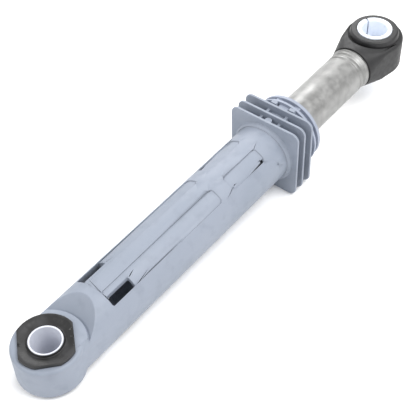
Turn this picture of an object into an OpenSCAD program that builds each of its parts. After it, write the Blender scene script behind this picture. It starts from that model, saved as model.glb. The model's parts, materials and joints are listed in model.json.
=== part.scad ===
// Friction damper for a washing machine drum: a plastic housing with a finned mouth, a steel
// tube that slides in it through a greased foam lining, and a rubber-bushed eye at each end.
// The origin is the centre of the lower eye. X runs along the damper to the upper eye, and
// Z runs along both eyes' bores.

/* [Overall] */
// Distance between the two eye axes as the damper lies
eye_span = 246.5; // [200:0.5:284]
// Outer diameter of the steel tube
tube_d = 22; // [20:0.1:23]
// Radial clearance where a piece slides or turns on another
run_gap = 0.05; // [0.02:0.01:0.09]
// Clearance where a piece is only seated on another
seat_gap = 0.05; // [0.02:0.01:0.2]

/* [Lower eye] */
// Outer diameter of the lower eye
low_eye_d = 29.8; // [28:0.1:32]
// Height of the lower eye along its bore
low_eye_h = 17.6; // [15:0.1:20]
// Rounding of the eye's outer edges
low_eye_round = 1.5; // [0.8:0.1:2.5]
// Diameter of the rubber body inside the lower eye
low_rubber_d = 20.6; // [19:0.1:22]
// Outer diameter of the lower sleeve
low_sleeve_d = 14.4; // [13.8:0.1:15.4]
// Bore of the lower sleeve
low_bore_d = 12.8; // [12:0.1:13.2]
// Length of the lower sleeve
low_sleeve_l = 21.2; // [20.8:0.1:24]

/* [Lower bush flange] */
// Diameter of the flange's round side
flange_d = 26.6; // [25:0.1:28]
// Distance between the two parallel flats of the flange
flange_flats = 22.6; // [21:0.1:24]
// Distance of the third flat from the bore's axis
flange_flat_c = 12.3; // [11.6:0.1:13]
// Rounding of the flange's corners, seen from above
flange_corner = 4.5; // [2:0.5:6]
// Angle of the flange's round side, counted from the damper's axis
flange_turn = 48; // [0:1:90]
// Thickness of the flange
flange_t = 1.8; // [1:0.1:2]
// Depth of the ring-shaped dish round the sleeve
flange_dish = 1; // [0.3:0.1:1.2]
// Diameter of the snap-in lip on the bush's other end
lip_d = 23.6; // [22.4:0.1:24]
// Height of the snap-in lip
lip_h = 1.5; // [0.8:0.1:1.8]

/* [Barrel] */
// Outer diameter at the closed end
barrel_d = 29.3; // [28.5:0.1:31]
// Growth of the outer diameter towards the mouth, the draft of the mould
barrel_draft = 0.35; // [0:0.05:0.6]
// Diameter inside the barrel
barrel_bore_d = 24.2; // [23.8:0.1:25]
// Start of the barrel's bore, measured from the lower eye
barrel_bore_x = 28; // [26.5:0.5:32]
// Radius from the eye axis at which the dished end would reach the middle plane
dish_base_r = 9.8; // [9:0.1:10.5]
// Radius of the flat shelf that carries on from the eye's face to the dish
shelf_r = 16.6; // [15.4:0.1:17.4]
// Width of the dish's floor
dish_floor = 0.4; // [0.2:0.1:0.8]
// Diameter of the gate mark beside the finned mouth
gate_d = 1.2; // [0.8:0.1:2]
// Distance from the lower eye to the gate mark
gate_x = 139.8; // [137:0.1:142]
// Angle of the gate mark round the barrel, counted from the top
gate_turn = 68; // [50:1:80]
// Depth of the gate mark
gate_depth = 0.4; // [0.2:0.1:0.6]

/* [Panels and windows] */
// Depth of the recessed panels
panel_depth = 0.5; // [0.2:0.05:0.8]
// Side distance from the middle plane to a panel's inner edge
panel_y0 = 3.8; // [3:0.1:5]
// Width of a panel, seen from above
panel_w = 6.6; // [5:0.1:7]
// Start of the long panels
panel_x0 = 29; // [28:0.5:34]
// Length of the long panels
long_panel_l = 72.8; // [60:0.1:74]
// Length of the plain band between the long and the short panels
band_l = 8.2; // [4:0.1:12]
// Length of the short panels
short_panel_l = 24; // [15:0.1:26]
// Corner radius of the panels
panel_corner = 1.6; // [0.8:0.1:2.4]
// Length of the windows at the closed end of the long panels
window_l = 13.5; // [10:0.1:16]
// Width of the windows, seen from above
window_w = 4.2; // [3:0.1:5]
// Corner radius of the windows
window_corner = 0.7; // [0.3:0.1:1.2]

/* [Finned mouth] */
// Distance from the lower eye to the first fin
fins_x = 147.5; // [143:0.5:152]
// Side of the square fins
fin_size = 38.5; // [34:0.1:42]
// Corner radius of the fins
fin_corner = 4; // [2:0.1:6]
// Thickness of the fins
fin_t = 1.3; // [1:0.1:1.8]
// Gap between the first and the second fin
fin_gap_a = 4.1; // [3:0.1:5]
// Gap between the second and the third fin
fin_gap_b = 4.6; // [3:0.1:5]
// Diameter of the core between the fins
core_d = 30.4; // [30:0.1:32]
// Diameter of the chamber that holds the foam
chamber_d = 27.2; // [26:0.1:28]
// Distance over the ribs between the fins, across the core
rib_span = 32.8; // [31:0.1:35]
// Thickness of the ribs
rib_t = 1.4; // [0.8:0.1:2]
// Distance of a rib from the middle plane
rib_y = 5.1; // [4:0.1:8]
// Diameter of the round boss between the first two fins
boss_d = 3.6; // [2:0.1:4]
// Height of the boss above the damper's axis
boss_h = 17.6; // [16:0.1:18.6]
// Diameter of the bead where the barrel meets the first fin
bead_d = 32.8; // [31:0.1:34]
// Length of that bead
bead_l = 1.9; // [1:0.1:3]

/* [End cap] */
// Outer diameter of the cap's skirt
skirt_d = 33.4; // [32.6:0.1:34]
// Length of the housing's spigot under the skirt
spigot_l = 6.2; // [5:0.1:7]
// Gap between the third fin and the cap's front flange
cap_gap = 4.1; // [3.4:0.1:4.6]
// Diameter of the front flange
cap_flange_d = 36.6; // [35:0.1:38]
// Thickness of the front flange
cap_flange_t = 1.3; // [1:0.1:1.6]
// Gap between the front flange and the rim
cap_groove_w = 2.5; // [1.5:0.1:3]
// Diameter of the bottom of that gap
cap_groove_d = 31.6; // [31:0.1:32.2]
// Diameter of the cap's rim
cap_rim_d = 35.4; // [34:0.1:37]
// Thickness of the rim
cap_rim_t = 1.8; // [1.2:0.1:2.5]
// Distance from the middle plane to a catch
catch_y = 5.1; // [4.4:0.1:6]
// Width of a catch
catch_w = 3.2; // [2:0.1:3.6]
// Length of a catch along the damper
catch_l = 2.2; // [1.5:0.1:2.6]
// Distance over the catches, across the cap
catch_span = 35.6; // [34.6:0.1:36.4]
// Width of the slots between the catches and the cap's tongue
slot_w = 0.8; // [0.5:0.1:1.2]
// Distance from the middle plane to the skirt's wide side openings
skirt_open_y = 7.4; // [7:0.1:8.4]
// Angle at which those openings end, counted from the top
skirt_open_end = 66; // [50:1:72]
// Width of the small rib on each flank of the skirt
flank_rib_t = 1.6; // [1:0.1:2.4]

/* [Friction lining] */
// Thickness of the inner guide ring
guide_ring_t = 2.5; // [2:0.1:4]
// Gap left at the foam strip's butt joint
foam_joint = 0.8; // [0.3:0.1:1.5]

/* [Tube] */
// Wall of the steel tube
tube_wall = 1.2; // [1:0.05:1.5]
// Distance from the upper eye's axis to the tube's outer end
tube_end_back = 21.2; // [20:0.1:23]
// Length of the tube
tube_l = 129.3; // [118:0.1:140]
// Depth of the rolled grooves that hold the head
roll_depth = 0.7; // [0.4:0.05:0.8]
// Width of the rolled groove near the tube's end
roll_w_a = 3.4; // [2.6:0.1:3.6]
// Distance from the tube's end to the middle of that groove
roll_a = 4.7; // [4.5:0.1:5.4]
// Width of the other rolled groove
roll_w_b = 1.9; // [1.4:0.1:2.4]
// Distance between the two rolled grooves
roll_pitch = 3.4; // [3.1:0.1:4]
// Width of the rolled bead at the tube's end
bead_roll_w = 1.9; // [1:0.1:2.2]
// How far that bead stands out from the tube
bead_rise = 0.5; // [0.1:0.05:0.6]

/* [Wear ring] */
// Length of the wear ring on the tube's inner end
wear_l = 10; // [6:0.5:14]
// Distance from the tube's inner end to the wear ring's groove
wear_back = 2.4; // [2:0.1:5]
// Depth of the groove that holds the wear ring
wear_groove = 0.6; // [0.4:0.05:0.8]
// Width of the cut that lets the ring snap on
wear_cut = 1.5; // [0.8:0.1:3]

/* [Upper eye] */
// Outer diameter of the upper eye
up_eye_d = 30.6; // [29:0.1:32]
// Height of the upper eye along its bore
up_eye_h = 18.6; // [17:0.1:19.4]
// Rounding of the upper eye's edges
up_eye_round = 2.5; // [1.5:0.1:3]
// Diameter of the shoulder that meets the tube's end
shoulder_d = 23.6; // [23:0.1:25]
// Length of that shoulder before the neck widens
shoulder_l = 1.2; // [0.5:0.1:2]
// Distance from the eye's rim to where the neck is as high as the eye
neck_reach = 4.5; // [3:0.1:6]
// Slope of the upper neck down to the eye's face
neck_slope = 42; // [30:1:50]
// Gap round the rubber collar on the eye's face
collar_gap = 0.3; // [0.1:0.1:0.6]
// Length of the spigot inside the tube
head_spigot_l = 14; // [11:0.5:20]
// Diameter of the rubber body inside the upper eye
up_rubber_d = 24; // [22:0.1:25]
// Diameter of the rubber collar round the upper sleeve, at its top
up_collar_top_d = 25; // [23:0.1:25.4]
// Diameter of that collar at its foot
up_collar_foot_d = 26.2; // [25.6:0.1:27.4]
// Height of that collar
up_collar_h = 2.8; // [2:0.1:3]
// Outer diameter of the upper sleeve
up_sleeve_d = 18.2; // [17:0.1:19]
// Bore of the upper sleeve
up_bore_d = 13.4; // [12.6:0.1:14]
// Length of the upper sleeve
up_sleeve_l = 25.2; // [24.6:0.1:26]
// Bevel at the mouths of the upper sleeve
up_sleeve_bevel = 0.5; // [0.2:0.1:0.8]
// Width of the slit along the upper sleeve
slit_w = 0.8; // [0.4:0.1:1.2]
// Angle of the slit, counted from the damper's axis
slit_turn = 60; // [0:5:90]

/* [Hidden] */
$fn = 96;
ARC_STEPS = 6;
REACH = 60;
TINY = 0.01;
GREY_PLASTIC = "#838b96";
BLACK_PLASTIC = "#1c1c1e";
RUBBER_BLACK = "#121213";
SLEEVE_GREY = "#c9ccd6";
SLEEVE_WHITE = "#e6ebf5";
STEEL_GREY = "#8f8f90";
FOAM_TAN = "#b59b6a";
NYLON_CREAM = "#dcd8c8";

barrel_mouth_d = barrel_d + barrel_draft;
fin_b_x = fins_x + fin_t + fin_gap_a;
fin_c_x = fin_b_x + fin_t + fin_gap_b;
fins_end = fin_c_x + fin_t;
spigot_end = fins_end + spigot_l;
cap_flange_x = fins_end + cap_gap;
cap_rim_x = cap_flange_x + cap_flange_t + cap_groove_w;
cap_end = cap_rim_x + cap_rim_t;
short_panel_x = panel_x0 + long_panel_l + band_l;
foam_x = fins_x + guide_ring_t;
skirt_bore_d = core_d + 2 * seat_gap;
tube_end = eye_span - tube_end_back;
tube_start = tube_end - tube_l;
tube_bore_d = tube_d - 2 * tube_wall;
wear_x = tube_start + wear_back;
slide_bore_d = tube_d + 2 * run_gap;

// Points of an arc in the plane, from one angle to another
function arc(cx, cy, r, from, to, steps = ARC_STEPS) =
    [for (i = [0 : steps]) let (a = from + (to - from) * i / steps) [cx + r * cos(a), cy + r * sin(a)]];

// A half section turned about the X axis: its points are [x, r]
module turned(points) {
    rotate([0, 90, 0]) rotate_extrude() polygon([for (p = points) [p[1], p[0]]]);
}

// A plain cylinder along X
module along_x(d, x0, x1) {
    translate([x0, 0, 0]) rotate([0, 90, 0]) cylinder(d = d, h = x1 - x0);
}

// A rectangle with round corners, centred
module round_rect(w, h, r) {
    square([w - 2 * r, h], center = true);
    square([w, h - 2 * r], center = true);
    for (sx = [-1, 1], sy = [-1, 1])
        translate([sx * (w / 2 - r), sy * (h / 2 - r)]) circle(r = r);
}

// A disc of an eye, round its bore's axis, with rounded outer edges
module eye_disc(d, h, r) {
    rotate_extrude() polygon(concat(
        [[0, -h / 2]],
        arc(d / 2 - r, r - h / 2, r, -90, 0),
        arc(d / 2 - r, h / 2 - r, r, 0, 90),
        [[0, h / 2]]));
}

// The clearance above the lower eye: a flat shelf, a short step down and a cone about the bore
module dish() {
    top = low_eye_h / 2;
    floor_r = shelf_r + dish_floor;
    floor_z = floor_r - dish_base_r;
    rotate_extrude() polygon(concat(
        [[0, top]],
        arc(shelf_r - dish_floor, top - dish_floor, dish_floor, 90, 0, 4),
        [[shelf_r, floor_z + dish_floor], [floor_r - dish_floor / 2, floor_z + TINY], [floor_r, floor_z],
         [dish_base_r + REACH / 2, REACH / 2], [0, REACH / 2]]));
}

// The barrel's outside, from the eye to the first fin, with the draft of the mould
module barrel_body() {
    turned([[0, 0], [0, barrel_d / 2], [barrel_bore_x, barrel_d / 2],
            [fins_x + TINY, barrel_mouth_d / 2], [fins_x + TINY, 0]]);
    turned(concat(
        [[fins_x + TINY, 0], [fins_x - bead_l, 0]],
        arc(fins_x, bead_d / 2 - bead_l, bead_l, 180, 90),
        [[fins_x + TINY, bead_d / 2]]));
}

// The recess of one panel in the barrel's skin, on the side given by the signs
module panel_recess(x0, length, side, face) {
    difference() {
        translate([x0 + length / 2, side * (panel_y0 + panel_w / 2), 0])
            mirror([0, 0, face < 0 ? 1 : 0])
                linear_extrude(REACH) round_rect(length, panel_w, panel_corner);
        turned([[0, 0], [0, barrel_d / 2 - panel_depth], [barrel_bore_x, barrel_d / 2 - panel_depth],
                [fins_x, barrel_mouth_d / 2 - panel_depth], [fins_x, 0]]);
    }
}

// A pair of windows, above and below, on one side
module windows(side) {
    translate([panel_x0 + window_l / 2, side * (panel_y0 + panel_w - window_w / 2), -REACH / 2])
        linear_extrude(REACH) round_rect(window_l, window_w, window_corner);
}

// One square fin
module fin(x) {
    translate([x, 0, 0]) rotate([90, 0, 90])
        linear_extrude(fin_t) round_rect(fin_size, fin_size, fin_corner);
}

// The ribs that tie two fins together round the core
module ribs(x0, x1) {
    length = x1 - x0 + 2 * TINY;
    for (y = [-rib_y, rib_y])
        translate([x0 - TINY, y - rib_t / 2, -rib_span / 2]) cube([length, rib_t, rib_span]);
    translate([x0 - TINY, -rib_span / 2, -rib_t / 2]) cube([length, rib_span, rib_t]);
}

// The catches on the spigot, which snap into the end cap
module catches() {
    for (y = [-catch_y, catch_y])
        translate([fins_end + cap_gap - catch_l - seat_gap, y - catch_w / 2, -catch_span / 2])
            cube([catch_l, catch_w, catch_span]);
}

module housing() {
    color(GREY_PLASTIC) difference() {
        union() {
            difference() {
                barrel_body();
                for (face = [0, 1]) mirror([0, 0, face]) dish();
            }
            eye_disc(low_eye_d, low_eye_h, low_eye_round);
            along_x(core_d, fins_x, spigot_end);
            for (x = [fins_x, fin_b_x, fin_c_x]) fin(x);
            ribs(fins_x + fin_t, fin_b_x);
            ribs(fin_b_x + fin_t, fin_c_x);
            translate([fins_x + fin_t + fin_gap_a / 2, 0, 0]) cylinder(d = boss_d, h = boss_h);
            catches();
        }
        along_x(barrel_bore_d, barrel_bore_x, fins_x + 1);
        along_x(chamber_d, fins_x, spigot_end + 1);
        cylinder(d = low_rubber_d, h = REACH, center = true);
        rotate([gate_turn, 0, 0]) translate([gate_x, 0, barrel_mouth_d / 2 - gate_depth])
            cylinder(d = gate_d, h = REACH);
        for (side = [-1, 1]) {
            windows(side);
            for (face = [-1, 1]) {
                panel_recess(panel_x0, long_panel_l, side, face);
                panel_recess(short_panel_x, short_panel_l, side, face);
            }
        }
    }
}

// The ring that guides the tube and shuts off the foam chamber towards the barrel
module guide_ring() {
    color(NYLON_CREAM) difference() {
        along_x(chamber_d - 2 * seat_gap, fins_x + seat_gap, foam_x);
        along_x(slide_bore_d, fins_x, foam_x + 1);
    }
}

// The greased foam strip, wrapped once round the tube
module friction_lining() {
    color(FOAM_TAN) difference() {
        along_x(chamber_d - 2 * seat_gap, foam_x + seat_gap, spigot_end - seat_gap);
        along_x(slide_bore_d, foam_x, spigot_end);
        translate([foam_x, 0, -foam_joint / 2]) cube([spigot_l + REACH, REACH, foam_joint]);
    }
}

// The windows for the catches, the slots beside the tongue and the wide openings of the skirt
module cap_cuts() {
    x0 = fins_end;
    tongue_edge = catch_y - catch_w / 2 - seat_gap;
    open_z = skirt_d / 2 * cos(skirt_open_end);
    for (y = [-catch_y, catch_y])
        translate([x0, y - catch_w / 2 - seat_gap, -REACH / 2])
            cube([cap_gap, catch_w + 2 * seat_gap, REACH]);
    for (side = [-1, 1], face = [-1, 1]) {
        translate([x0, side * (tongue_edge - slot_w / 2) - slot_w / 2, face > 0 ? 0 : -REACH / 2])
            cube([cap_gap, slot_w + TINY, REACH / 2]);
        translate([x0 + flank_rib_t, side > 0 ? skirt_open_y : -skirt_open_y - REACH,
                   face > 0 ? open_z : -open_z - REACH])
            cube([cap_gap - flank_rib_t, REACH, REACH]);
        translate([x0 + flank_rib_t, side > 0 ? 0 : -REACH, face * (flank_rib_t + slot_w) / 2 - slot_w / 2])
            cube([cap_gap - flank_rib_t, REACH, slot_w]);
    }
}

module end_cap() {
    color(GREY_PLASTIC) difference() {
        union() {
            along_x(skirt_d, fins_end + seat_gap, cap_flange_x + TINY);
            along_x(cap_flange_d, cap_flange_x, cap_flange_x + cap_flange_t);
            along_x(cap_groove_d, cap_flange_x, cap_rim_x + TINY);
            along_x(cap_rim_d, cap_rim_x, cap_end);
            for (y = [-catch_y, catch_y])
                translate([cap_flange_x, y - catch_w / 2, -cap_groove_d / 2])
                    cube([cap_groove_w + cap_flange_t + TINY, catch_w, cap_groove_d]);
        }
        along_x(skirt_bore_d, fins_end, spigot_end + seat_gap);
        along_x(slide_bore_d, fins_end, cap_end + 1);
        cap_cuts();
    }
}

// The plan of the lower bush's flange: a disc with two parallel flats and a third across them
module flange_plan() {
    long = flange_flat_c + flange_d;
    intersection() {
        circle(d = flange_d);
        rotate(flange_turn) translate([long / 2 - flange_flat_c, 0])
            round_rect(long, flange_flats, flange_corner);
    }
}

module lower_bush() {
    seat = low_eye_h / 2 + seat_gap;
    top = low_eye_h / 2 + flange_t;
    sleeve_r = low_sleeve_d / 2;
    body_r = low_rubber_d / 2 - seat_gap;
    color(RUBBER_BLACK) difference() {
        union() {
            translate([0, 0, -seat - lip_h / 2]) cylinder(r = body_r, h = 2 * seat + lip_h);
            translate([0, 0, seat]) linear_extrude(flange_t - seat_gap) flange_plan();
            mirror([0, 0, 1]) translate([0, 0, seat])
                rotate_extrude() polygon([[0, 0], [lip_d / 2, 0], [lip_d / 2, lip_h / 3],
                                          [body_r, lip_h], [0, lip_h]]);
        }
        cylinder(d = low_sleeve_d + 2 * seat_gap, h = REACH, center = true);
        translate([0, 0, top - flange_dish]) rotate_extrude()
            polygon([[sleeve_r + 0.6, 0], [sleeve_r + 2.2, 0], [sleeve_r + 4.6, flange_dish],
                     [sleeve_r + 4.6, flange_dish + 1], [sleeve_r + 0.4, flange_dish + 1]]);
    }
}

module lower_sleeve() {
    color(SLEEVE_GREY) difference() {
        cylinder(d = low_sleeve_d, h = low_sleeve_l, center = true);
        cylinder(d = low_bore_d, h = REACH, center = true);
    }
}

// One rolled groove or bead: points along the tube with a smooth rise of h
function rolled(x, w, r, h) =
    [for (i = [-ARC_STEPS : ARC_STEPS]) [x + w / 2 * i / ARC_STEPS, r + h * (1 + cos(180 * i / ARC_STEPS)) / 2]];

// Radii of the tube's outer end, from the plain tube through two grooves and a bead to its edge
function rolled_end(r) = concat(
    rolled(tube_end - roll_a - roll_pitch, roll_w_b, r, -roll_depth),
    rolled(tube_end - roll_a, roll_w_a, r, -roll_depth),
    rolled(tube_end - 0.5 - bead_roll_w / 2, bead_roll_w, r, bead_rise),
    [[tube_end, r]]);

// Radii of the tube's inner end, with the groove that holds the wear ring
function ring_end(r) = [
    [tube_start, r],
    [wear_x - seat_gap, r],
    [wear_x - seat_gap, r - wear_groove],
    [wear_x + wear_l + seat_gap, r - wear_groove],
    [wear_x + wear_l + seat_gap, r]];

module rod_tube() {
    outer = concat(ring_end(tube_d / 2), rolled_end(tube_d / 2));
    inner = concat(ring_end(tube_bore_d / 2), rolled_end(tube_bore_d / 2));
    back = len(inner) - 1;
    color(STEEL_GREY) turned(concat(outer, [for (i = [back : -1 : 0]) inner[i]]));
}

// The split ring that guides the tube's inner end in the barrel
module wear_ring() {
    color(NYLON_CREAM) difference() {
        along_x(barrel_bore_d - 2 * run_gap, wear_x, wear_x + wear_l);
        along_x(tube_d - 2 * wear_groove + 2 * run_gap, wear_x - 1, wear_x + wear_l + 1);
        translate([wear_x - 1, 0, -wear_cut / 2]) cube([wear_l + 2, REACH, wear_cut]);
    }
}

// The slope and the flat seat that are cut into the neck above the upper eye's face
module collar_seat() {
    seat_r = up_collar_foot_d / 2 + collar_gap;
    rotate_extrude() polygon([[0, up_eye_h / 2], [seat_r, up_eye_h / 2],
                              [seat_r + REACH / 4, up_eye_h / 2 + REACH / 4 * tan(neck_slope)],
                              [0, up_eye_h / 2 + REACH / 4 * tan(neck_slope)]]);
}

module upper_eye() {
    spigot = rolled_end(tube_bore_d / 2 - seat_gap);
    spigot_start = tube_end - head_spigot_l;
    neck_x0 = tube_end + shoulder_l;
    neck_x1 = eye_span - up_eye_d / 2 + neck_reach;
    flank = asin(up_eye_d / 2 / norm([eye_span - neck_x0, shoulder_d / 2]))
        - atan(shoulder_d / 2 / (eye_span - neck_x0));
    flank_w = shoulder_d + 2 * (neck_x1 - neck_x0) * tan(flank);
    color(BLACK_PLASTIC) difference() {
        union() {
            hull() {
                along_x(shoulder_d, tube_end + seat_gap, neck_x0);
                translate([neck_x1, 0, 0]) rotate([90, 0, 90])
                    linear_extrude(0.5) round_rect(flank_w, up_eye_h, up_eye_round);
                translate([eye_span, 0, 0]) eye_disc(up_eye_d, up_eye_h, up_eye_round);
            }
            turned(concat(
                [[spigot_start, 0], [spigot_start, tube_bore_d / 2 - 1], [spigot_start + 1, tube_bore_d / 2 - seat_gap]],
                [for (p = spigot) if (p[0] > spigot_start + 1) p],
                [[tube_end + 1, tube_bore_d / 2 - seat_gap], [tube_end + 1, 0]]));
        }
        translate([eye_span, 0, 0]) {
            cylinder(d = up_rubber_d, h = REACH, center = true);
            for (face = [0, 1]) mirror([0, 0, face]) collar_seat();
        }
    }
}

module upper_bush() {
    foot = up_eye_h / 2 + seat_gap;
    top = up_eye_h / 2 + up_collar_h;
    color(RUBBER_BLACK) translate([eye_span, 0, 0]) difference() {
        union() {
            cylinder(d = up_rubber_d - 2 * seat_gap, h = up_eye_h + up_collar_h, center = true);
            for (face = [0, 1]) mirror([0, 0, face]) rotate_extrude()
                polygon(concat(
                    [[0, foot], [up_collar_foot_d / 2, foot]],
                    arc(up_collar_top_d / 2 - 1, top - 1, 1, 30, 90),
                    [[0, top]]));
        }
        cylinder(d = up_sleeve_d + 2 * seat_gap, h = REACH, center = true);
    }
}

module upper_sleeve() {
    half = up_sleeve_l / 2;
    color(SLEEVE_WHITE) translate([eye_span, 0, 0]) difference() {
        cylinder(d = up_sleeve_d, h = up_sleeve_l, center = true);
        cylinder(d = up_bore_d, h = REACH, center = true);
        for (face = [0, 1]) mirror([0, 0, face])
            translate([0, 0, half - up_sleeve_bevel])
                cylinder(d1 = up_bore_d, d2 = up_bore_d + 4 * up_sleeve_bevel, h = 2 * up_sleeve_bevel);
        rotate(slit_turn) translate([0, -slit_w / 2, -REACH / 2]) cube([REACH, slit_w, REACH]);
    }
}

housing();
guide_ring();
friction_lining();
end_cap();
lower_bush();
lower_sleeve();
rod_tube();
wear_ring();
upper_eye();
upper_bush();
upper_sleeve();
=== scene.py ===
"""Looks of the friction damper: finishes, soft pieces, studio and camera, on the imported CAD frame.

Every length is written in millimetres and turned into metres by mm(), and every colour is an
sRGB hex value turned into linear light by srgb(). X runs along the damper, Z along the eyes' bores.
"""

import json
import logging
import math
from dataclasses import dataclass
from enum import Enum

import bmesh
import bpy
from mathutils import Matrix, Vector

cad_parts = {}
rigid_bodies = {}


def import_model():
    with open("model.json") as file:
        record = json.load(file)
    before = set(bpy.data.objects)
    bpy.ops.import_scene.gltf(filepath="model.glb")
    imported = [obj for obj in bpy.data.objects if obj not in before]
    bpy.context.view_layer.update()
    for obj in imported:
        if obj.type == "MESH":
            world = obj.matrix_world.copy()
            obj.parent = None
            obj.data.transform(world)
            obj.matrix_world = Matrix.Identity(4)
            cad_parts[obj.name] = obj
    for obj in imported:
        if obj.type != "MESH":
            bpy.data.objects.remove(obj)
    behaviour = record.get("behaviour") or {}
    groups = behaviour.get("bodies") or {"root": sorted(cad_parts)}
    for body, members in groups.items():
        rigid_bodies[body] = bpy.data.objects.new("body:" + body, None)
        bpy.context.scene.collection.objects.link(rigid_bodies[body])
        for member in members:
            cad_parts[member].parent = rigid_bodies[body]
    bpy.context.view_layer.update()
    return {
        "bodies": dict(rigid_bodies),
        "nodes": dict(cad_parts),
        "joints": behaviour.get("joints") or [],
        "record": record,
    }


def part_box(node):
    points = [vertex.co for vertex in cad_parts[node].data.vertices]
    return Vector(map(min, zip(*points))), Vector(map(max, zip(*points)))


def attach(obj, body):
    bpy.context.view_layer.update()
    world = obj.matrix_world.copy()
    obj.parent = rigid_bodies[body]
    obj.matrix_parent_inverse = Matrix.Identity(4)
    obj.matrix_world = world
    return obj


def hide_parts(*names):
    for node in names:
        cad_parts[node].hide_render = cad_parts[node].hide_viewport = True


logging.basicConfig(level=logging.INFO, format="%(name)s: %(message)s")
log = logging.getLogger("damper")

MERGE_MM = 0.002
FLAT_DEG = 0.4
Place = tuple[float, float, float]
Colour = tuple[float, float, float, float]
Socket = bpy.types.NodeSocket


def mm(value: float) -> float:
    """Millimetres as metres."""
    return value * 0.001


def point(place_mm: Place) -> Vector:
    """A place in millimetres as a vector in metres."""
    return Vector(place_mm) * 0.001


def srgb(code: str) -> Colour:
    """Turns an sRGB hex colour into linear light.

    Args:
        code: Six hex digits, such as "838b96".

    Returns:
        Red, green, blue in linear light, and 1 for alpha.
    """
    parts = [int(code[i : i + 2], 16) / 255 for i in (0, 2, 4)]
    linear = [c / 12.92 if c <= 0.04045 else ((c + 0.055) / 1.055) ** 2.4 for c in parts]
    return (linear[0], linear[1], linear[2], 1.0)


class Texture(Enum):
    """How a mould or a process leaves a surface: roughness and depth of its grain in mm."""

    SPARK_ERODED = (0.52, 0.018)
    SATIN = (0.42, 0.008)
    RUBBER = (0.58, 0.014)
    PLATED = (0.38, 0.006)

    @property
    def roughness(self) -> float:
        """The mean roughness."""
        return self.value[0]

    @property
    def depth_mm(self) -> float:
        """The depth of the grain in mm."""
        return self.value[1]


# Shader nodes


class Shader:
    """One material's node tree, with a shorter way to add and link nodes."""

    def __init__(self, name: str) -> None:
        """Makes an empty material with an output and a Principled surface.

        Args:
            name: The material's name.
        """
        self.material = bpy.data.materials.new(name)
        self.material.use_nodes = True
        self.tree = self.material.node_tree
        self.tree.nodes.clear()
        self.surface = self.add("ShaderNodeBsdfPrincipled")
        out = self.add("ShaderNodeOutputMaterial")
        self.tree.links.new(self.surface.outputs["BSDF"], out.inputs["Surface"])
        self.place = self.add("ShaderNodeTexCoord").outputs["Object"]

    def add(
        self, kind: str, inputs: dict[str | int, object] | None = None, **settings: object
    ) -> bpy.types.Node:
        """Adds one node.

        Args:
            kind: The node's type.
            inputs: Values or sockets for its inputs, by name or number.
            **settings: Properties of the node.

        Returns:
            The new node.
        """
        node = self.tree.nodes.new(kind)
        for key, value in settings.items():
            setattr(node, key, value)
        for key, value in (inputs or {}).items():
            if isinstance(value, Socket):
                self.tree.links.new(value, node.inputs[key])
            else:
                node.inputs[key].default_value = value
        return node

    def spread(self, period_mm: float, stretch: Place = (1, 1, 1)) -> Socket:
        """Object coordinates in which one unit is period_mm long.

        Args:
            period_mm: The length of a unit.
            stretch: How often a pattern repeats along X, Y and Z against that length.

        Returns:
            The coordinates' socket.
        """
        scale = Vector(stretch) / mm(period_mm)
        return self.add("ShaderNodeMapping", {"Vector": self.place, "Scale": scale}).outputs[0]

    def noise(self, period_mm: float, detail: float = 2.0, stretch: Place = (1, 1, 1)) -> Socket:
        """Noise whose blotches are about period_mm across.

        Args:
            period_mm: The size of a blotch.
            detail: How many finer layers it has.
            stretch: How often it repeats along X, Y and Z against that size.

        Returns:
            The noise's value, about 0.5 in the mean.
        """
        inputs = {"Vector": self.spread(period_mm, stretch), "Scale": 1.0, "Detail": detail}
        return self.add("ShaderNodeTexNoise", inputs).outputs["Fac"]

    def ramp(
        self, value: Socket, low: float, high: float, to_low: float = 0.0, to_high: float = 1.0
    ) -> Socket:
        """A value clamped and moved from one range to another.

        Args:
            value: The value's socket.
            low: The start of its range.
            high: The end of its range.
            to_low: What the start becomes.
            to_high: What the end becomes.

        Returns:
            The new value's socket.
        """
        limits = {"From Min": low, "From Max": high, "To Min": to_low, "To Max": to_high}
        return self.add("ShaderNodeMapRange", {"Value": value, **limits}).outputs["Result"]

    def mix(self, factor: Socket, a: Colour | Socket, b: Colour | Socket) -> Socket:
        """Two colours mixed by a factor.

        Args:
            factor: 0 gives a and 1 gives b.
            a: The first colour.
            b: The second colour.

        Returns:
            The mixed colour's socket.
        """
        return self.add("ShaderNodeMix", {0: factor, 6: a, 7: b}, data_type="RGBA").outputs[2]

    def bump(self, height: Socket, depth_mm: float) -> None:
        """Raises the surface by a height, on top of what was raised before.

        Args:
            height: The height's socket, from 0 to 1.
            depth_mm: What a height of 1 is in mm.
        """
        node = self.add("ShaderNodeBump", {"Height": height, "Distance": mm(depth_mm), "Strength": 1.0})
        normal = self.surface.inputs["Normal"]
        if normal.is_linked:
            self.tree.links.new(normal.links[0].from_socket, node.inputs["Normal"])
        self.tree.links.new(node.outputs["Normal"], normal)

    def set(self, name: str, value: object) -> None:
        """Sets or links one input of the surface.

        Args:
            name: The input's name.
            value: A plain value or a socket.
        """
        if isinstance(value, Socket):
            self.tree.links.new(value, self.surface.inputs[name])
        else:
            self.surface.inputs[name].default_value = value


# Finishes


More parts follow.
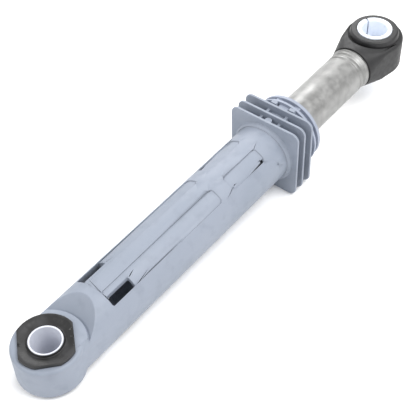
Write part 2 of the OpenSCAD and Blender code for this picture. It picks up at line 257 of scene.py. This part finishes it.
@dataclass(frozen=True)
class MouldedPlastic:
    """Injection-moulded plastic: a matte grain with soft clouds of flow and a little handling grime."""

    name: str
    colour: str
    light: str
    dark: str
    texture: Texture = Texture.SPARK_ERODED
    cloud_mm: float = 26.0
    grain_mm: float = 0.45
    subsurface: float = 0.0

    def make(self) -> bpy.types.Material:
        """Builds the material.

        Returns:
            The new material.
        """
        s = Shader(self.name)
        clouds = s.ramp(s.noise(self.cloud_mm, 3.0, (0.4, 1, 1)), 0.35, 0.65)
        base = s.mix(clouds, srgb(self.colour), srgb(self.light))
        grime = s.ramp(s.noise(self.cloud_mm / 4, 6.0), 0.52, 0.78, 0.0, 0.45)
        s.set("Base Color", s.mix(grime, base, srgb(self.dark)))
        rough = self.texture.roughness
        s.set("Roughness", s.ramp(s.noise(self.cloud_mm / 6, 4.0), 0.3, 0.7, rough - 0.06, rough + 0.08))
        s.set("Specular IOR Level", 0.42)
        if self.subsurface:
            s.set("Subsurface Weight", self.subsurface)
            s.set("Subsurface Radius", Vector((1.0, 1.0, 1.0)))
            s.set("Subsurface Scale", mm(1.2))
        s.bump(s.noise(self.cloud_mm / 3, 2.0), 0.05)
        s.bump(s.noise(self.grain_mm, 2.0), self.texture.depth_mm)
        return s.material


@dataclass(frozen=True)
class DullZincSteel:
    """Zinc-plated steel tube, gone dull: faint cloudy crystals and fine drawing lines along the tube."""

    name: str = "steel_dull_zinc_plated"
    colour: str = "8d8d8c"
    light: str = "a5a5a4"
    dark: str = "686866"
    crystal_mm: float = 5.0
    line_mm: float = 0.3

    def make(self) -> bpy.types.Material:
        """Builds the material.

        Returns:
            The new material.
        """
        s = Shader(self.name)
        crystals = s.ramp(s.noise(self.crystal_mm, 5.0), 0.35, 0.65)
        base = s.mix(crystals, srgb(self.colour), srgb(self.light))
        stains = s.ramp(s.noise(self.crystal_mm * 2.4, 6.0), 0.5, 0.75, 0.0, 0.6)
        s.set("Base Color", s.mix(stains, base, srgb(self.dark)))
        s.set("Metallic", 0.7)
        s.set("Roughness", s.ramp(s.noise(self.crystal_mm / 2, 4.0), 0.3, 0.7, 0.36, 0.56))
        s.bump(s.noise(self.line_mm, 2.0, (0.04, 1, 1)), Texture.PLATED.depth_mm)
        s.bump(s.noise(self.crystal_mm / 3, 3.0), 0.02)
        return s.material


@dataclass(frozen=True)
class MouldedRubber:
    """Black moulded rubber with the dust and bloom that collect on it."""

    name: str = "rubber_black_moulded"
    colour: str = "141415"
    bloom: str = "2b2b2d"
    bloom_mm: float = 7.0
    grain_mm: float = 0.3

    def make(self) -> bpy.types.Material:
        """Builds the material.

        Returns:
            The new material.
        """
        s = Shader(self.name)
        bloom = s.ramp(s.noise(self.bloom_mm, 5.0), 0.42, 0.72)
        s.set("Base Color", s.mix(bloom, srgb(self.colour), srgb(self.bloom)))
        s.set("Roughness", s.ramp(bloom, 0, 1, 0.42, Texture.RUBBER.roughness))
        s.set("Specular IOR Level", 0.5)
        s.bump(s.noise(self.bloom_mm / 2, 3.0), 0.06)
        s.bump(s.noise(self.grain_mm, 2.0), Texture.RUBBER.depth_mm)
        return s.material


@dataclass(frozen=True)
class GreasedFoam:
    """Open-pored polyurethane foam, darkened by its grease, with painted shade in its pores."""

    name: str = "foam_polyurethane_greased"
    colour: str = "b59b6a"
    greased: str = "6f5730"
    # painted shade: the colour put inside the pores' hollows
    pore_shade: str = "4a3a20"
    pore_mm: float = 0.6

    def make(self) -> bpy.types.Material:
        """Builds the material.

        Returns:
            The new material.
        """
        s = Shader(self.name)
        grease = s.ramp(s.noise(6.0, 4.0), 0.4, 0.6)
        base = s.mix(grease, srgb(self.colour), srgb(self.greased))
        cells = s.add("ShaderNodeTexVoronoi", {"Vector": s.spread(self.pore_mm), "Scale": 1.0})
        pore_depth_and_shade = s.ramp(cells.outputs["Distance"], 0.1, 0.45)
        # painted shade: the cell centres, which the bump sinks into pores, get the dark pore colour
        s.set("Base Color", s.mix(pore_depth_and_shade, srgb(self.pore_shade), base))
        s.set("Roughness", s.ramp(grease, 0, 1, 0.9, 0.45))
        s.bump(pore_depth_and_shade, 0.2)
        return s.material


# Mesh building


def to_object(name: str, bm: bmesh.types.BMesh, finish: bpy.types.Material) -> bpy.types.Object:
    """Turns a mesh in the making into an object of the scene, at the world's origin.

    Args:
        name: The object's name.
        bm: The mesh in the making, which is freed.
        finish: The material it gets.

    Returns:
        The new object.
    """
    mesh = bpy.data.meshes.new(name)
    bm.to_mesh(mesh)
    bm.free()
    normals = mesh.attributes.get("custom_normal")
    if normals is not None:
        mesh.attributes.remove(normals)
    mesh.materials.append(finish)
    obj = bpy.data.objects.new(name, mesh)
    bpy.context.scene.collection.objects.link(obj)
    return obj


def round_edges(obj: bpy.types.Object, width_mm: float, segments: int, angle: float, rigid: bool) -> None:
    """Rounds an object's sharp edges with a Bevel modifier.

    Args:
        obj: The object.
        width_mm: The width of the rounding.
        segments: How many faces it has across.
        angle: The angle in degrees from which an edge is sharp.
        rigid: True keeps the full width everywhere, and flat faces flat.
    """
    bevel = obj.modifiers.new("edges", "BEVEL")
    bevel.width = mm(width_mm)
    bevel.segments = segments
    bevel.limit_method = "ANGLE"
    bevel.angle_limit = math.radians(angle)
    bevel.use_clamp_overlap = not rigid
    bevel.harden_normals = rigid


@dataclass
class Moulding:
    """A copy of a CAD node's mesh, merged, with its edges rounded as a mould rounds them."""

    node: str
    body: str
    slot: str
    edge_mm: float = 0.25
    edge_angle: float = 32.0
    segments: int = 2

    def build(self, frame: dict, finish: bpy.types.Material) -> bpy.types.Object:
        """Copies the node, rounds its edges and puts it in the node's place.

        Args:
            frame: The loaded frame.
            finish: The material it gets.

        Returns:
            The finished object.
        """
        source = frame["nodes"][self.node]
        bm = bmesh.new()
        bm.from_mesh(source.data)
        bmesh.ops.remove_doubles(bm, verts=bm.verts, dist=mm(MERGE_MM))
        bmesh.ops.dissolve_limit(bm, angle_limit=math.radians(FLAT_DEG), verts=bm.verts, edges=bm.edges)
        bmesh.ops.recalc_face_normals(bm, faces=bm.faces)
        for face in bm.faces:
            face.smooth = True
            face.material_index = 0
        limit = math.radians(self.edge_angle)
        for edge in bm.edges:
            edge.smooth = len(edge.link_faces) != 2 or edge.calc_face_angle(0.0) < limit
        obj = to_object(self.node + "_moulded", bm, finish)
        round_edges(obj, self.edge_mm, self.segments, self.edge_angle, True)
        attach(obj, self.body)
        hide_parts(self.node)
        log.info("%s: %d faces before its edges are rounded", obj.name, len(obj.data.polygons))
        return obj


@dataclass
class FoamStrip:
    """The foam strip, wrapped once round the tube, with soft edges and a butt joint."""

    inner_mm: float = 11.2
    outer_mm: float = 13.4
    joint_deg: float = 5.0
    steps: int = 96
    round_mm: float = 0.5
    round_segments: int = 3
    edge_angle: float = 40.0
    cells: tuple[int, int] = (8, 2)
    length_share: float = 0.98

    def build(self, finish: bpy.types.Material) -> bpy.types.Object:
        """Spins the strip's section round the damper's axis, in the CAD solid's place.

        Args:
            finish: The material it gets.

        Returns:
            The finished object.
        """
        low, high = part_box("friction_lining")
        bm = bmesh.new()
        along, through = self.cells
        bmesh.ops.create_grid(bm, x_segments=along, y_segments=through, size=0.5)
        width = (high.x - low.x) * self.length_share
        height = mm(self.outer_mm - self.inner_mm)
        middle = Vector(((low.x + high.x) / 2, 0, mm(self.inner_mm + self.outer_mm) / 2))
        bmesh.ops.scale(bm, vec=(width, height, 1), verts=bm.verts)
        bmesh.ops.rotate(bm, matrix=Matrix.Rotation(math.radians(90), 3, "X"), verts=bm.verts)
        bmesh.ops.translate(bm, vec=middle, verts=bm.verts)
        start = math.radians(90 + self.joint_deg / 2)
        bmesh.ops.rotate(bm, matrix=Matrix.Rotation(-start, 3, "X"), verts=bm.verts)
        geometry = list(bm.verts) + list(bm.edges) + list(bm.faces)
        turn = -math.radians(360 - self.joint_deg)
        bmesh.ops.spin(
            bm, geom=geometry, cent=(0, 0, 0), axis=(1, 0, 0), angle=turn, steps=self.steps,
            use_duplicate=False,
        )
        bmesh.ops.recalc_face_normals(bm, faces=bm.faces)
        for face in bm.faces:
            face.smooth = True
        obj = to_object("friction_foam", bm, finish)
        round_edges(obj, self.round_mm, self.round_segments, self.edge_angle, False)
        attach(obj, "housing_side")
        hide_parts("friction_lining")
        log.info("%s: %d faces", obj.name, len(obj.data.polygons))
        return obj


# Sub-assemblies


@dataclass
class HousingSide:
    """The moulded housing with its cap, guide ring, foam and the lower eye's bush."""

    grey: MouldedPlastic = MouldedPlastic(
        "polypropylene_grey_moulded", "828a97", "8b929f", "757c88",
    )
    cap_grey: MouldedPlastic = MouldedPlastic(
        "polyacetal_grey_cap_moulded", "8d94a2", "989fae", "7d8491",
    )
    sleeve: MouldedPlastic = MouldedPlastic(
        "nylon_grey_white_turned_sleeve", "c9ccd6", "d4d7e0", "b4b8c4", Texture.SATIN, 12.0, 0.3, 0.15,
    )
    ring: MouldedPlastic = MouldedPlastic(
        "nylon_cream_moulded_ring", "dcd8c8", "e6e2d4", "c2bda8", Texture.SATIN, 10.0, 0.3, 0.15,
    )

    def build(self, frame: dict, rubber: bpy.types.Material) -> None:
        """Dresses and rebuilds every piece of this side.

        Args:
            frame: The loaded frame.
            rubber: The rubber both bushes share.
        """
        side = "housing_side"
        Moulding("housing", side, "housing_plastic", 0.3).build(frame, self.grey.make())
        Moulding("end_cap", side, "cap_plastic", 0.2).build(frame, self.cap_grey.make())
        Moulding("lower_bush", side, "bush_rubber", 0.35).build(frame, rubber)
        Moulding("lower_sleeve", side, "lower_sleeve_nylon", 0.25).build(frame, self.sleeve.make())
        Moulding("guide_ring", side, "ring_nylon", 0.2).build(frame, self.ring.make())
        FoamStrip().build(GreasedFoam().make())


@dataclass
class RodSide:
    """The steel tube with the head, its bush and sleeve, and the wear ring inside the barrel."""

    steel: DullZincSteel = DullZincSteel()
    head: MouldedPlastic = MouldedPlastic(
        "polyamide_black_moulded_head", "1c1c1d", "232324", "2e2e30", Texture.SPARK_ERODED, 14.0,
    )
    sleeve: MouldedPlastic = MouldedPlastic(
        "nylon_white_moulded_sleeve", "e3e9f4", "eaf0fa", "cdd4e2", Texture.SATIN, 12.0, 0.3, 0.2,
    )
    ring: MouldedPlastic = MouldedPlastic(
        "nylon_cream_moulded_wear_ring", "dcd8c8", "e6e2d4", "c2bda8", Texture.SATIN, 10.0, 0.3, 0.15,
    )

    def build(self, frame: dict, rubber: bpy.types.Material) -> None:
        """Dresses and rebuilds every piece of this side.

        Args:
            frame: The loaded frame.
            rubber: The rubber both bushes share.
        """
        side = "rod_side"
        Moulding("rod_tube", side, "zinc_steel", 0.15, 40.0).build(frame, self.steel.make())
        Moulding("upper_eye", side, "head_plastic", 0.3).build(frame, self.head.make())
        Moulding("upper_bush", side, "bush_rubber", 0.35).build(frame, rubber)
        Moulding("upper_sleeve", side, "upper_sleeve_nylon", 0.2).build(frame, self.sleeve.make())
        Moulding("wear_ring", "slider", "ring_nylon", 0.2).build(frame, self.ring.make())


# Studio


@dataclass
class SoftBox:
    """One square area light, aimed at a point."""

    name: str
    place_mm: Place
    size_mm: float
    watts: float
    colour: str = "ffffff"

    def build(self, target: Vector) -> bpy.types.Object:
        """Makes the light.

        Args:
            target: The point it looks at, in metres.

        Returns:
            The light's object.
        """
        data = bpy.data.lights.new(self.name, "AREA")
        data.shape = "SQUARE"
        data.size = mm(self.size_mm)
        data.energy = self.watts
        data.color = srgb(self.colour)[:3]
        obj = bpy.data.objects.new(self.name, data)
        bpy.context.scene.collection.objects.link(obj)
        obj.location = point(self.place_mm)
        obj.rotation_euler = (target - obj.location).to_track_quat("-Z", "Y").to_euler()
        return obj


@dataclass
class Studio:
    """A plain pale floor, soft light and the camera at the photograph's angle."""

    camera_mm: Place = (-137.39, -198.68, 335.21)
    aim_mm: Place = (120, 0, 0)
    azimuth: float = -50.385
    elevation: float = 47.101
    roll: float = -2.123
    lens: float = 87.47
    rest_a_mm: tuple[float, float] = (-7.2, -10.6)
    rest_b_mm: tuple[float, float] = (147.5, -19.25)
    floor_mm: float = 4000.0
    ambient: float = 0.75
    lights: tuple[SoftBox, ...] = (
        SoftBox("key", (300, -500, 900), 600, 9.0),
        SoftBox("fill", (-600, 300, 700), 700, 4.0),
        SoftBox("rim", (700, 500, 500), 500, 4.0),
    )

    def place_camera(self) -> None:
        """Puts the camera where the photograph was taken from."""
        a, e, r = (math.radians(v) for v in (self.azimuth, self.elevation, self.roll))
        back = Vector((math.sin(a) * math.cos(e), -math.cos(a) * math.cos(e), math.sin(e)))
        right = (-back).cross(Vector((0, 0, 1))).normalized()
        up = right.cross(-back)
        right2 = right * math.cos(r) + up * math.sin(r)
        up2 = up * math.cos(r) - right * math.sin(r)
        data = bpy.data.cameras.new("photo_camera")
        data.lens = self.lens
        data.sensor_width = 36.0
        data.clip_start, data.clip_end = 0.01, 20.0
        obj = bpy.data.objects.new("photo_camera", data)
        bpy.context.scene.collection.objects.link(obj)
        matrix = Matrix((right2, up2, back)).transposed().to_4x4()
        matrix.translation = point(self.camera_mm)
        obj.matrix_world = matrix
        bpy.context.scene.camera = obj

    def lay_floor(self) -> None:
        """Lays the floor under the lower eye's sleeve and the first fin, where the damper rests."""
        (xa, za), (xb, zb) = self.rest_a_mm, self.rest_b_mm
        slope = math.atan2(zb - za, xb - xa)
        bm = bmesh.new()
        bmesh.ops.create_grid(bm, x_segments=1, y_segments=1, size=mm(self.floor_mm) / 2)
        bmesh.ops.rotate(bm, matrix=Matrix.Rotation(-slope, 3, "Y"), verts=bm.verts)
        bmesh.ops.translate(bm, vec=(mm(xa), 0, mm(za)), verts=bm.verts)
        paper = Shader("paper_white_backdrop")
        paper.set("Base Color", srgb("fbfbfb"))
        paper.set("Roughness", 0.9)
        to_object("floor", bm, paper.material)

    def light_world(self) -> None:
        """An even pale surround: white to the camera, softer in light and reflections."""
        world = bpy.data.worlds.new("studio")
        bpy.context.scene.world = world
        world.use_nodes = True
        tree = world.node_tree
        tree.nodes.clear()
        path = tree.nodes.new("ShaderNodeLightPath")
        soft = tree.nodes.new("ShaderNodeBackground")
        white = tree.nodes.new("ShaderNodeBackground")
        mix = tree.nodes.new("ShaderNodeMixShader")
        out = tree.nodes.new("ShaderNodeOutputWorld")
        soft.inputs["Color"].default_value = srgb("ffffff")
        soft.inputs["Strength"].default_value = self.ambient
        white.inputs["Color"].default_value = srgb("ffffff")
        white.inputs["Strength"].default_value = 1.0
        tree.links.new(path.outputs["Is Camera Ray"], mix.inputs[0])
        tree.links.new(soft.outputs[0], mix.inputs[1])
        tree.links.new(white.outputs[0], mix.inputs[2])
        tree.links.new(mix.outputs[0], out.inputs["Surface"])

    def build(self) -> None:
        """Sets up the whole studio."""
        bpy.context.scene.view_settings.view_transform = "Standard"
        self.place_camera()
        self.lay_floor()
        self.light_world()
        for light in self.lights:
            light.build(point(self.aim_mm))


def main() -> None:
    """Builds the looks on the frame."""
    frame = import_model()
    rubber = MouldedRubber().make()
    Studio().build()
    HousingSide().build(frame, rubber)
    RodSide().build(frame, rubber)


if __name__ == "__main__":
    main()
